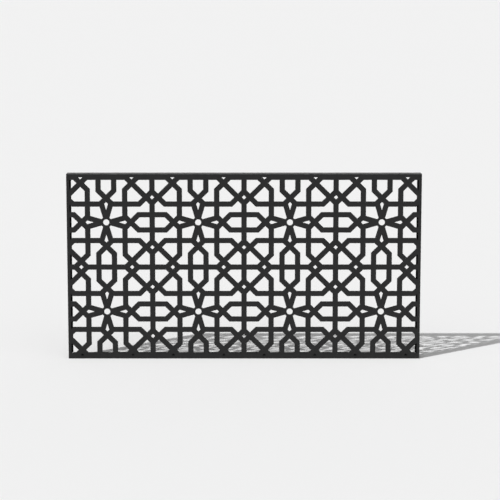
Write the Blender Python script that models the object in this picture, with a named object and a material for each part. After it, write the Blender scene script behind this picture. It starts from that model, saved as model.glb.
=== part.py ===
"""Metal privacy screen: one sheet of steel, cut with a star lattice and folded into a shallow tray.

The sheet's four edges fold back into sides, and the sides fold in again into a narrow lip. The tray's
corners are notched towards the back. Fixing holes go through the sides. Sizes are in metres: X runs
along the screen, Z is up and the front faces -Y. The origin is under the middle of the bottom side,
half way through its depth.
"""

import math

import bmesh
import bpy
from mathutils import Matrix, Vector

# The folded tray.
PANEL_WIDTH = 1.142
PANEL_HEIGHT = 0.6115
PANEL_DEPTH = 0.030
SHEET = 0.0015
BEND_RADIUS = 0.0005  # inside of each fold
LIP_WIDTH = 0.014  # the lip's reach in from the outside of the tray
MITRE_GAP = 0.001  # slit between two lips at a corner of the tray
MITRE_START = 0.75 * MITRE_GAP  # from the tray's inside corner to the slit, which leaves the sides whole
NOTCH = 0.0036  # how far each corner is cut back along both of its sides, at the back of the tray
NOTCH_START = 0.004  # from the front to where a corner starts to slant in

# The fixing holes in the tray's sides.
HOLE_DIAMETER = 0.007
HOLE_INSET = 0.071  # from the ends of the top and bottom sides to their outer holes
END_HOLE_INSET = 0.115  # from the top and bottom of each end side to its holes

# The lattice. One repeat is a square with a star at its middle, the same after a quarter turn and in a
# mirror. All its bars are as wide as each other.
REPEAT = 0.2957
BAR_WIDTH = 0.0175
LONG_BORDER = 0.0102  # uncut sheet from the tray's top and bottom edges to the lattice
END_BORDER = 0.0095  # the same at its two ends
EYE_DIAMETER = 0.0195  # the round hole in the star
HUB_DIAMETER = 0.036  # the ring around it

# Where the middles of the bars run in one repeat, from the star's middle. They scale with the repeat.
FRAME_BAR = 0.203 * REPEAT  # the upright and level bars that frame the star
PETAL_ROOT = 0.0315 * REPEAT  # where a petal's bar meets the axis
PETAL_ANGLE = math.radians(16.2)
KNOT = 0.267 * REPEAT  # the crossing at a petal's tip
LINK_BAR = 0.085 * REPEAT  # each of the two bars that join a pair of stars, from the axis
ELBOW = 0.157 * REPEAT  # a frame bar turns off along z = x + ELBOW
CORNER_FOOT = 0.213 * REPEAT  # where the bar across a corner meets the repeat's edge, from the axis

# How finely round shapes are faceted.
BEND_STEPS = 5
EYE_SIDES = 32
HUB_STEPS = 3
HOLE_SIDES = 24

CUT_SPARE = 0.005  # how far a cutter runs past the metal that it cuts
SMALLEST_CUT = 0.004  # an opening that the border leaves narrower than this stays uncut

COAT_COLOUR = (0.012, 0.012, 0.0125, 1.0)
COAT_ROUGHNESS = 0.42

FRONT = -PANEL_DEPTH / 2
BACK = PANEL_DEPTH / 2
CENTRE = Vector((0, 0, PANEL_HEIGHT / 2))

HALF = BAR_WIDTH / 2
HALF_SLANTED = HALF * math.sqrt(2)  # half a slanted bar, measured along x or z
EDGE = REPEAT / 2  # the middle of the bar along the repeat's edge
CORNER_BAR = EDGE + CORNER_FOOT  # the bar across a corner runs along x + z = CORNER_BAR


def clear_scene():
    for obj in list(bpy.data.objects):
        bpy.data.objects.remove(obj)


def coat_material():
    """Black powder coat."""
    material = bpy.data.materials.new("powder_coat")
    material.use_nodes = True
    shader = material.node_tree.nodes["Principled BSDF"]
    shader.inputs["Base Color"].default_value = COAT_COLOUR
    shader.inputs["Roughness"].default_value = COAT_ROUGHNESS
    shader.inputs["Metallic"].default_value = 0.0
    return material


def object_from(bm, name):
    bmesh.ops.recalc_face_normals(bm, faces=bm.faces)
    mesh = bpy.data.meshes.new(name)
    bm.to_mesh(mesh)
    bm.free()
    obj = bpy.data.objects.new(name, mesh)
    bpy.context.scene.collection.objects.link(obj)
    return obj


def cutter_from(bm, name):
    obj = object_from(bm, name)
    obj.hide_render = True
    obj.display_type = "WIRE"
    return obj


def add_box(bm, low, high):
    """Adds a box between two corners and returns its edges."""
    size = Vector(high) - Vector(low)
    middle = (Vector(high) + Vector(low)) / 2
    place = Matrix.Translation(middle) @ Matrix.Diagonal((*size, 1))
    made = bmesh.ops.create_cube(bm, size=1.0, matrix=place)
    return list({edge for vert in made["verts"] for edge in vert.link_edges})


def add_rod(bm, centre, axis, diameter, length, sides):
    turn = Vector((0, 0, 1)).rotation_difference(Vector(axis)).to_matrix().to_4x4()
    bmesh.ops.create_cone(
        bm,
        cap_ends=True,
        segments=sides,
        radius1=diameter / 2,
        radius2=diameter / 2,
        depth=length,
        matrix=Matrix.Translation(centre) @ turn,
    )


def round_folds(bm, edges, radius):
    """Rounds the edges where the sheet is folded, which all run along X or Z."""
    folded = [e for e in edges if abs((e.verts[0].co - e.verts[1].co).y) < radius / 10]
    bmesh.ops.bevel(bm, geom=folded, offset=radius, segments=BEND_STEPS, profile=0.5, affect="EDGES")


def notch_corners(bm):
    """Slants each corner of the tray in towards the back, by the same amount along both of its sides."""
    across = PANEL_WIDTH / 2
    upward = PANEL_HEIGHT / 2
    for right in (-1, 1):
        for up in (-1, 1):
            start = CENTRE + Vector((right * across, FRONT + NOTCH_START, up * upward))
            outward = Vector((right, NOTCH / (PANEL_DEPTH - NOTCH_START), up))
            everything = [*bm.verts, *bm.edges, *bm.faces]
            cut_through = bmesh.ops.bisect_plane(
                bm, geom=everything, plane_co=start, plane_no=outward, clear_outer=True
            )
            rim = [item for item in cut_through["geom_cut"] if isinstance(item, bmesh.types.BMEdge)]
            bmesh.ops.holes_fill(bm, edges=rim)


def tray_block():
    """The outside of the folded tray, solid."""
    bm = bmesh.new()
    edges = add_box(
        bm,
        (-PANEL_WIDTH / 2, FRONT, 0),
        (PANEL_WIDTH / 2, BACK, PANEL_HEIGHT),
    )
    round_folds(bm, edges, BEND_RADIUS + SHEET)
    notch_corners(bm)
    return object_from(bm, "screen_panel")


def inside_cutter():
    """The space between the sheet's inner faces."""
    bm = bmesh.new()
    edges = add_box(
        bm,
        (-PANEL_WIDTH / 2 + SHEET, FRONT + SHEET, SHEET),
        (PANEL_WIDTH / 2 - SHEET, BACK - SHEET, PANEL_HEIGHT - SHEET),
    )
    round_folds(bm, edges, BEND_RADIUS)
    return cutter_from(bm, "inside_cutter")


def add_outline(bm, outline, place):
    """Adds a flat face that looks along -Y."""
    face = bm.faces.new([bm.verts.new(place + Vector((x, 0, z))) for x, z in outline])
    face.normal_update()


def mouth_cutter():
    """The open back of the tray, inside the lips, with a slit out between the two lips at each corner."""
    across = PANEL_WIDTH / 2
    upward = PANEL_HEIGHT / 2
    slit_end = SHEET + MITRE_START
    slit = MITRE_GAP / math.sqrt(2)  # half the slit, measured along x or z
    corner = [
        (across - LIP_WIDTH, upward - LIP_WIDTH - slit),
        (across - slit_end + slit / 2, upward - slit_end - slit / 2),
        (across - slit_end - slit / 2, upward - slit_end + slit / 2),
        (across - LIP_WIDTH - slit, upward - LIP_WIDTH),
    ]
    outline = [*corner, *((-x, z) for x, z in reversed(corner))]
    outline += [(-x, -z) for x, z in outline]
    bm = bmesh.new()
    add_outline(bm, outline, CENTRE + Vector((0, BACK - SHEET - CUT_SPARE, 0)))
    bmesh.ops.solidify(bm, geom=bm.faces[:], thickness=SHEET + 2 * CUT_SPARE)
    return cutter_from(bm, "mouth_cutter")


def hole_cutter():
    """Rods through the sides: three along the top and the bottom, two down each end."""
    bm = bmesh.new()
    length = SHEET + 2 * CUT_SPARE
    across = PANEL_WIDTH / 2 - HOLE_INSET
    upward = PANEL_HEIGHT / 2 - END_HOLE_INSET
    for up in (-1, 1):
        for x in (-across, 0, across):
            place = CENTRE + Vector((x, 0, up * (PANEL_HEIGHT - SHEET) / 2))
            add_rod(bm, place, (0, 0, 1), HOLE_DIAMETER, length, HOLE_SIDES)
    for right in (-1, 1):
        for z in (-upward, upward):
            place = CENTRE + Vector((right * (PANEL_WIDTH - SHEET) / 2, 0, z))
            add_rod(bm, place, (1, 0, 0), HOLE_DIAMETER, length, HOLE_SIDES)
    return cutter_from(bm, "hole_cutter")


# A line in the plane of the lattice is (a, b, c), for a * x + b * z = c.
def upright(x):
    return (1, 0, x)


def level(z):
    return (0, 1, z)


def falling(c):
    return (1, 1, c)


def rising(c):
    return (-1, 1, c)


def petal_edge(offset):
    """An edge of a petal's bar, at that distance from the bar's middle."""
    slope = math.tan(PETAL_ANGLE)
    return (-slope, 1, offset / math.cos(PETAL_ANGLE) - slope * PETAL_ROOT)


def meet(first, second):
    """The point where two lines cross."""
    a, b, c = first
    d, e, f = second
    scale = a * e - b * d
    return ((c * e - b * f) / scale, (a * f - c * d) / scale)


def beyond(outline, x):
    """The part of an outline to the right of an upright line."""
    kept = []
    for (x1, z1), (x2, z2) in zip(outline, outline[1:] + outline[:1]):
        if x1 >= x:
            kept.append((x1, z1))
        if (x1 - x) * (x2 - x) < 0:
            kept.append((x, z1 + (z2 - z1) * (x - x1) / (x2 - x1)))
    return kept


def eye():
    turns = [2 * math.pi * i / EYE_SIDES for i in range(EYE_SIDES)]
    return [(EYE_DIAMETER / 2 * math.cos(t), EYE_DIAMETER / 2 * math.sin(t)) for t in turns]


def petal_slit():
    """The dart inside a petal."""
    inner = petal_edge(-HALF)
    tip = KNOT - HALF_SLANTED
    wide = meet(inner, falling(tip))
    return [meet(inner, level(0)), (wide[0], -wide[1]), (tip, 0), wide]


def between_petals():
    """The opening between two petals and the two frame bars, cut back round the hub."""
    slope = math.tan(PETAL_ANGLE)
    petal = petal_edge(HALF)
    rise = petal[2]
    a, b, c = 1 + slope**2, slope * rise, rise**2 - (HUB_DIAMETER / 2) ** 2
    x = (-b + math.sqrt(b * b - a * c)) / a
    start = math.atan2(slope * x + rise, x)
    sweep = math.pi / 2 - 2 * start
    turns = [start + sweep * i / HUB_STEPS for i in range(HUB_STEPS + 1)]
    hub = [(HUB_DIAMETER / 2 * math.cos(t), HUB_DIAMETER / 2 * math.sin(t)) for t in turns]
    inside = FRAME_BAR - HALF
    side = meet(petal, upright(inside))
    return [side, (inside, inside), (side[1], side[0]), *reversed(hub)]


def inside_elbow():
    """The opening in the corner of the frame bars, out to the falling bar."""
    outside = FRAME_BAR + HALF
    turn = ELBOW - HALF_SLANTED
    far = CORNER_BAR - HALF_SLANTED
    return [
        (outside, outside),
        meet(level(outside), rising(-turn)),
        meet(rising(-turn), falling(far)),
        meet(rising(turn), falling(far)),
        meet(upright(outside), rising(turn)),
    ]


def repeat_corner():
    """The opening at a corner of the repeat, beyond the falling bar."""
    near = CORNER_BAR + HALF_SLANTED
    turn = ELBOW - HALF_SLANTED
    edge = EDGE - HALF
    return [
        meet(falling(near), rising(-turn)),
        meet(upright(edge), rising(-turn)),
        (edge, edge),
        meet(level(edge), rising(turn)),
        meet(falling(near), rising(turn)),
    ]


def between_links():
    """The opening between the pair of link bars, from the knot to the repeat's edge."""
    tip = KNOT + HALF_SLANTED
    inside = LINK_BAR - HALF
    edge = EDGE - HALF
    return [(tip, 0), (tip + inside, -inside), (edge, -inside), (edge, inside), (tip + inside, inside)]


def beside_link():
    """The bent opening between a link bar and the frame bar that turns off at the elbow."""
    edge = EDGE - HALF
    over_link = LINK_BAR + HALF
    under_frame = FRAME_BAR - HALF
    knot_top = falling(KNOT + HALF_SLANTED)
    knot_side = rising(-(KNOT - HALF_SLANTED))
    elbow_side = rising(-(ELBOW + HALF_SLANTED))
    corner_side = falling(CORNER_BAR - HALF_SLANTED)
    outline = [
        meet(knot_top, knot_side),
        meet(knot_side, level(over_link)),
        (edge, over_link),
        meet(upright(edge), corner_side),
        meet(corner_side, elbow_side),
        meet(elbow_side, level(under_frame)),
        meet(level(under_frame), knot_top),
    ]
    return beyond(outline, FRAME_BAR + HALF)


def edge_diamond():
    """The small square on its corner where four slanted bars meet on the repeat's upper edge."""
    low = CORNER_BAR - EDGE + HALF_SLANTED
    high = EDGE - ELBOW - HALF_SLANTED
    middle, reach = (low + high) / 2, (high - low) / 2
    return [(low, EDGE), (middle, EDGE - reach), (high, EDGE), (middle, EDGE + reach)]


def quarter_turns(outline):
    """The outline at each of the star's four sides."""
    turned = [outline]
    for _ in range(3):
        turned.append([(-z, x) for x, z in turned[-1]])
    return turned


def mirrored(outline):
    """The outline on the other side of the repeat's diagonal, wound the same way."""
    return [(z, x) for x, z in reversed(outline)]


def repeat_openings():
    """Every opening of one repeat. An opening on its edge is listed for its upper and right edges."""
    openings = [eye()]
    for outline in (petal_slit(), between_petals(), inside_elbow(), repeat_corner(), between_links()):
        openings += quarter_turns(outline)
    openings += quarter_turns(beside_link()) + quarter_turns(mirrored(beside_link()))
    diamond = edge_diamond()
    flipped = [(-x, z) for x, z in reversed(diamond)]
    openings += [diamond, flipped, mirrored(diamond), mirrored(flipped)]
    return openings


def lattice_cutter():
    """All the openings that lie inside the border, as one cutter through the front sheet."""
    bm = bmesh.new()
    reach_x = PANEL_WIDTH / 2 - END_BORDER
    reach_z = PANEL_HEIGHT / 2 - LONG_BORDER
    columns = math.ceil(reach_x / REPEAT)
    rows = math.ceil(reach_z / REPEAT)
    openings = repeat_openings()
    for i in range(-columns - 1, columns):
        for j in range(-rows - 1, rows):
            star = CENTRE + Vector(((i + 0.5) * REPEAT, FRONT - CUT_SPARE, (j + 0.5) * REPEAT))
            for outline in openings:
                add_outline(bm, outline, star)
    for normal, reach in (((1, 0, 0), reach_x), ((0, 0, 1), reach_z)):
        for sign in (-1, 1):
            outward = Vector(normal) * sign
            everything = [*bm.verts, *bm.edges, *bm.faces]
            bmesh.ops.bisect_plane(
                bm, geom=everything, plane_co=CENTRE + outward * reach, plane_no=outward, clear_outer=True
            )
    slivers = [face for face in bm.faces if 2 * face.calc_area() / face.calc_perimeter() < SMALLEST_CUT / 2]
    bmesh.ops.delete(bm, geom=slivers, context="FACES")
    bmesh.ops.solidify(bm, geom=bm.faces[:], thickness=SHEET + 2 * CUT_SPARE)
    return cutter_from(bm, "lattice_cutter")


def cut(obj, cutter):
    modifier = obj.modifiers.new(cutter.name, "BOOLEAN")
    modifier.operation = "DIFFERENCE"
    modifier.solver = "EXACT"
    modifier.object = cutter


def main():
    clear_scene()
    panel = tray_block()
    panel.data.materials.append(coat_material())
    for cutter in (inside_cutter(), mouth_cutter(), hole_cutter(), lattice_cutter()):
        cut(panel, cutter)


main()
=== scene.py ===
"""Looks of the metal privacy screen: black powder coat on a folded, laser-cut sheet."""

import math

import bpy
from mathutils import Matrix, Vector


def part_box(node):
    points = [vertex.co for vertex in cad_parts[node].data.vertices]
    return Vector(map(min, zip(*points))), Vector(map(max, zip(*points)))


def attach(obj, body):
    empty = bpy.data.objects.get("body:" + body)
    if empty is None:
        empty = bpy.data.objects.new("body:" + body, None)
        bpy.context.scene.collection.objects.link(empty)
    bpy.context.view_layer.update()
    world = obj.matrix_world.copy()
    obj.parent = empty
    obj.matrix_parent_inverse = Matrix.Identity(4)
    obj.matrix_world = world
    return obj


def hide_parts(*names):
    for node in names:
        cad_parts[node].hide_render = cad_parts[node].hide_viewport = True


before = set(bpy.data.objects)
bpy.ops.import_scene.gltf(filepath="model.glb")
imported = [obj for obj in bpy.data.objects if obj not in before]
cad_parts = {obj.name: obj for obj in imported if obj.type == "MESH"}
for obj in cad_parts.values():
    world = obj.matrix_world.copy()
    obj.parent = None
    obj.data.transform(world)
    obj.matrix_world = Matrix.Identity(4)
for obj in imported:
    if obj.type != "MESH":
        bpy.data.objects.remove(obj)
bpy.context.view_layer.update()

# The folded tray's box, as the frame gives it. Sizes are in metres here and below.
LOW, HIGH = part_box("screen_panel")

# The coat rounds each cut edge a little.
COAT_ROUND = 0.0003
COAT_ROUND_STEPS = 2
WELD_DISTANCE = 1e-6
CUT_ANGLE = math.radians(40)  # an edge that turns less than this, such as a fold's, isn't rounded
SMOOTH_ANGLE = math.radians(50)

# The panel's material slots.
# The INSIDE and CUT slots carry painted shade.
OUTSIDE, ROUNDED, INSIDE, CUT = range(4)
FACING = 0.3  # a face that leans less than this towards the tray's outside or inside is a cut wall

# Powder coat. It is lighter on the rounded edges. Inside the tray and on cut walls it is duller, and
# darker as painted shade.
COAT_COLOUR = (0.011, 0.011, 0.0113, 1)
EDGE_COLOUR = (0.016, 0.016, 0.0164, 1)
# Painted shade: the tray's inside is darker than the outside coat.
INSIDE_PAINTED_SHADE_COLOUR = (0.004, 0.004, 0.0041, 1)
# Painted shade: the cut walls of the openings are darker than the outside coat.
CUT_WALL_PAINTED_SHADE_COLOUR = (0.005, 0.005, 0.0051, 1)
COAT_ROUGHNESS = 0.42
DULL_ROUGHNESS = 0.62
COAT_SPECULAR = 0.3
DULL_SPECULAR = 0.1
COAT_BUMP = 0.5
EDGE_BUMP = 0.3

# The coat's fine grain, and the slow unevenness with which it flowed before it set.
GRAIN_SIZE = 0.0011
GRAIN_DETAIL = 2
GRAIN_HEIGHT = 0.0001
FLOW_SIZE = 0.018
FLOW_DETAIL = 3
FLOW_MIDDLE = (0.3, 0.7)  # the part of the noise that is stretched over the whole range
PALER = 1.35  # the palest flow against the plain colour
GLOSS_SWING = 0.05  # added to the roughness and taken from it

# The camera, which stands in front of the panel and above it, and looks down.
FRAME_PIXELS = 500
FOCAL_PIXELS = 2693.7
CAMERA_PITCH = math.radians(12.722)
CAMERA_DISTANCE = 8.692
CAMERA_REACH = 200
AIM_HEIGHT = 0.36245
SENSOR = 36  # millimetres
AXIS_PIXEL = 244.03  # the column of the photograph that the panel's middle stands on

# The floor, a hair below the panel so that the two don't share a plane.
FLOOR_SIZE = 120
FLOOR_DROP = 0.0001
FLOOR_COLOUR = (0.90, 0.90, 0.90, 1)
FLOOR_ROUGHNESS = 1.0
FLOOR_SPECULAR = 0.0

# The key light, turned from straight in front towards the left.
KEY_TURN = math.radians(-54.6)
KEY_HEIGHT = math.radians(49.6)
KEY_SPREAD = math.radians(1.1)
KEY_STRENGTH = 2.38

# The sky's strengths, and where on the unit sphere they fade into each other.
SKY_COLOUR = (1, 1, 1, 1)
BACKDROP = 1.6  # low down behind the panel
ROOM = 0.05  # low down behind the camera
LOW_FADE = (0.1, 0.5)  # the heights over which the low part goes
LOW_TURN = (-0.3, 0.3)  # from the camera's side to the far side
CEILING_FRONT = 0.84  # overhead, on the camera's side
CEILING_REAR = 0.05  # overhead, on the far side
HIGH_FADE = (0.2, 0.8)  # the heights over which the overhead part comes
HIGH_TURN = (-0.4, 0.4)  # from the camera's side to the far side


def select_only(obj):
    bpy.ops.object.select_all(action="DESELECT")
    obj.select_set(True)
    bpy.context.view_layer.objects.active = obj


def apply_modifiers(obj):
    select_only(obj)
    for modifier in list(obj.modifiers):
        bpy.ops.object.modifier_apply(modifier=modifier.name)


def sheet_copy():
    """A copy of the folded sheet with its loose triangles welded where their corners meet."""
    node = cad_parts["screen_panel"]
    panel = bpy.data.objects.new("panel", node.data.copy())
    bpy.context.scene.collection.objects.link(panel)
    select_only(panel)
    bpy.ops.object.mode_set(mode="EDIT")
    bpy.ops.mesh.select_all(action="SELECT")
    bpy.ops.mesh.remove_doubles(threshold=WELD_DISTANCE)
    bpy.ops.object.mode_set(mode="OBJECT")
    return panel


def way_out(point):
    """The outward direction of the side of the tray's box that a point lies nearest to."""
    sides = []
    for axis in range(3):
        outward = Vector((0, 0, 0))
        outward[axis] = 1
        sides.append((point[axis] - LOW[axis], -outward))
        sides.append((HIGH[axis] - point[axis], outward))
    return min(sides, key=lambda side: side[0])[1]


def give_finishes_and_painted_shade(panel):
    """Tells the tray's outside, its inside and the cut walls of its openings apart; the inside and the
    cut walls get painted shade.
    """
    for face in panel.data.polygons:
        lean = face.normal.dot(way_out(face.center))
        if abs(lean) < FACING:
            face.material_index = CUT
        else:
            face.material_index = OUTSIDE if lean > 0 else INSIDE


def round_cut_edges(panel):
    """Rounds the sheet's cut edges, as the coat does, and gives the rounding a finish of its own."""
    bevel = panel.modifiers.new("coat_round", "BEVEL")
    bevel.width = COAT_ROUND
    bevel.segments = COAT_ROUND_STEPS
    bevel.limit_method = "ANGLE"
    bevel.angle_limit = CUT_ANGLE
    bevel.material = ROUNDED
    bevel.use_clamp_overlap = False
    bevel.miter_outer = "MITER_SHARP"
    weighted = panel.modifiers.new("flat_faces", "WEIGHTED_NORMAL")
    weighted.keep_sharp = True
    bpy.ops.object.shade_smooth_by_angle(angle=SMOOTH_ANGLE)
    apply_modifiers(panel)


def new_material(name):
    material = bpy.data.materials.new(name)
    material.use_nodes = True
    return material, material.node_tree.nodes, material.node_tree.links


def grain_group():
    """A powder coat's surface: its fine grain, and the slow flow that its shade and gloss follow."""
    group = bpy.data.node_groups.new("powder_coat_grain", "ShaderNodeTree")
    for name in ("Grain Size", "Flow Size"):
        group.interface.new_socket(name, in_out="INPUT", socket_type="NodeSocketFloat")
    for name in ("Grain", "Flow"):
        group.interface.new_socket(name, in_out="OUTPUT", socket_type="NodeSocketFloat")
    nodes, links = group.nodes, group.links
    given = nodes.new("NodeGroupInput")
    out = nodes.new("NodeGroupOutput")
    place = nodes.new("ShaderNodeTexCoord")

    def noise(size_socket, detail):
        scale = nodes.new("ShaderNodeMath")
        scale.operation = "DIVIDE"
        scale.inputs[0].default_value = 1
        links.new(given.outputs[size_socket], scale.inputs[1])
        texture = nodes.new("ShaderNodeTexNoise")
        texture.inputs["Detail"].default_value = detail
        links.new(place.outputs["Object"], texture.inputs["Vector"])
        links.new(scale.outputs[0], texture.inputs["Scale"])
        return texture.outputs["Fac"]

    links.new(noise("Grain Size", GRAIN_DETAIL), out.inputs["Grain"])
    links.new(noise("Flow Size", FLOW_DETAIL), out.inputs["Flow"])
    return group


def coat_material(name, grain, colour, roughness, specular, bump):
    material, nodes, links = new_material(name)
    shader = nodes["Principled BSDF"]
    shader.inputs["Specular IOR Level"].default_value = specular
    surface = nodes.new("ShaderNodeGroup")
    surface.node_tree = grain
    surface.inputs["Grain Size"].default_value = GRAIN_SIZE
    surface.inputs["Flow Size"].default_value = FLOW_SIZE

    def following_flow(low, high):
        """Stretches the middle of the flow's noise to run from one value to another."""
        remap = nodes.new("ShaderNodeMapRange")
        remap.inputs["From Min"].default_value = FLOW_MIDDLE[0]
        remap.inputs["From Max"].default_value = FLOW_MIDDLE[1]
        remap.inputs["To Min"].default_value = low
        remap.inputs["To Max"].default_value = high
        links.new(surface.outputs["Flow"], remap.inputs["Value"])
        return remap.outputs["Result"]

    shade = nodes.new("ShaderNodeMix")
    shade.data_type = "RGBA"
    shade.inputs["A"].default_value = colour
    shade.inputs["B"].default_value = tuple(PALER * channel for channel in colour[:3]) + (1,)
    links.new(following_flow(0, 1), shade.inputs["Factor"])
    links.new(shade.outputs["Result"], shader.inputs["Base Color"])

    gloss = following_flow(roughness - GLOSS_SWING, roughness + GLOSS_SWING)
    links.new(gloss, shader.inputs["Roughness"])

    relief = nodes.new("ShaderNodeBump")
    relief.inputs["Strength"].default_value = bump
    relief.inputs["Distance"].default_value = GRAIN_HEIGHT
    links.new(surface.outputs["Grain"], relief.inputs["Height"])
    links.new(relief.outputs["Normal"], shader.inputs["Normal"])
    return material


def coats():
    """The panel's four coats, in the order of its material slots: two finishes, then two with painted
    shade for the tray's inside and the cut walls.
    """
    grain = grain_group()
    return (
        coat_material("powder_coat", grain, COAT_COLOUR, COAT_ROUGHNESS, COAT_SPECULAR, COAT_BUMP),
        coat_material("coat_on_edges", grain, EDGE_COLOUR, COAT_ROUGHNESS, COAT_SPECULAR, EDGE_BUMP),
        # Painted shade on the tray's inside.
        coat_material("coat_inside_painted_shade", grain, INSIDE_PAINTED_SHADE_COLOUR, DULL_ROUGHNESS, DULL_SPECULAR, COAT_BUMP),
        # Painted shade on the cut walls of the openings.
        coat_material("coat_on_cut_walls_painted_shade", grain, CUT_WALL_PAINTED_SHADE_COLOUR, DULL_ROUGHNESS, DULL_SPECULAR, COAT_BUMP),
    )


def screen():
    """The folded sheet in its powder coat."""
    panel = sheet_copy()
    panel.data.materials.clear()
    for coat in coats():
        panel.data.materials.append(coat)
    give_finishes_and_painted_shade(panel)
    round_cut_edges(panel)
    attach(panel, "root")
    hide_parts("screen_panel")


def floor():
    bpy.ops.mesh.primitive_plane_add(size=FLOOR_SIZE, location=(0, 0, LOW.z - FLOOR_DROP))
    plane = bpy.context.object
    plane.name = "floor"
    material, nodes, _ = new_material("pale_floor")
    shader = nodes["Principled BSDF"]
    shader.inputs["Base Color"].default_value = FLOOR_COLOUR
    shader.inputs["Roughness"].default_value = FLOOR_ROUGHNESS
    shader.inputs["Specular IOR Level"].default_value = FLOOR_SPECULAR
    plane.data.materials.append(material)


def key_light():
    bpy.ops.object.light_add(type="SUN")
    key = bpy.context.object
    key.name = "key"
    towards = Vector((
        math.sin(KEY_TURN) * math.cos(KEY_HEIGHT),
        -math.cos(KEY_TURN) * math.cos(KEY_HEIGHT),
        math.sin(KEY_HEIGHT),
    ))
    key.rotation_euler = towards.to_track_quat("Z", "Y").to_euler()
    key.data.energy = KEY_STRENGTH
    key.data.angle = KEY_SPREAD


def sky():
    """A sky that is bright low down behind the panel, dark behind the camera and soft above it."""
    world = bpy.data.worlds.new("studio")
    bpy.context.scene.world = world
    world.use_nodes = True
    nodes, links = world.node_tree.nodes, world.node_tree.links
    place = nodes.new("ShaderNodeTexCoord")
    split = nodes.new("ShaderNodeSeparateXYZ")
    links.new(place.outputs["Generated"], split.inputs["Vector"])

    def fading(axis, stretch, first, last):
        """Goes from one strength to another over a stretch of an axis."""
        ramp = nodes.new("ShaderNodeMapRange")
        ramp.interpolation_type = "SMOOTHSTEP"
        ramp.inputs["From Min"].default_value = stretch[0]
        ramp.inputs["From Max"].default_value = stretch[1]
        ramp.inputs["To Min"].default_value = first
        ramp.inputs["To Max"].default_value = last
        links.new(split.outputs[axis], ramp.inputs["Value"])
        return ramp.outputs["Result"]

    def combined(operation, first, second):
        step = nodes.new("ShaderNodeMath")
        step.operation = operation
        links.new(first, step.inputs[0])
        links.new(second, step.inputs[1])
        return step.outputs[0]

    walls = fading("Y", LOW_TURN, ROOM, BACKDROP)
    ceiling = fading("Y", HIGH_TURN, CEILING_FRONT, CEILING_REAR)
    low = combined("MULTIPLY", fading("Z", LOW_FADE, 1, 0), walls)
    high = combined("MULTIPLY", fading("Z", HIGH_FADE, 0, 1), ceiling)
    background = nodes["Background"]
    background.inputs["Color"].default_value = SKY_COLOUR
    links.new(combined("ADD", low, high), background.inputs["Strength"])


def camera():
    data = bpy.data.cameras.new("camera")
    data.sensor_width = SENSOR
    data.lens = SENSOR * FOCAL_PIXELS / FRAME_PIXELS
    data.shift_x = (FRAME_PIXELS / 2 - AXIS_PIXEL) / FRAME_PIXELS
    data.clip_end = CAMERA_REACH
    eye = bpy.data.objects.new("camera", data)
    bpy.context.scene.collection.objects.link(eye)
    aim = Vector((0, LOW.y, AIM_HEIGHT))
    back = Vector((0, -math.cos(CAMERA_PITCH), math.sin(CAMERA_PITCH)))
    eye.location = aim + CAMERA_DISTANCE * back
    eye.rotation_euler = back.to_track_quat("Z", "Y").to_euler()
    bpy.context.scene.camera = eye


def main():
    camera()
    key_light()
    sky()
    floor()
    screen()
    bpy.context.scene.view_settings.view_transform = "Standard"


main()
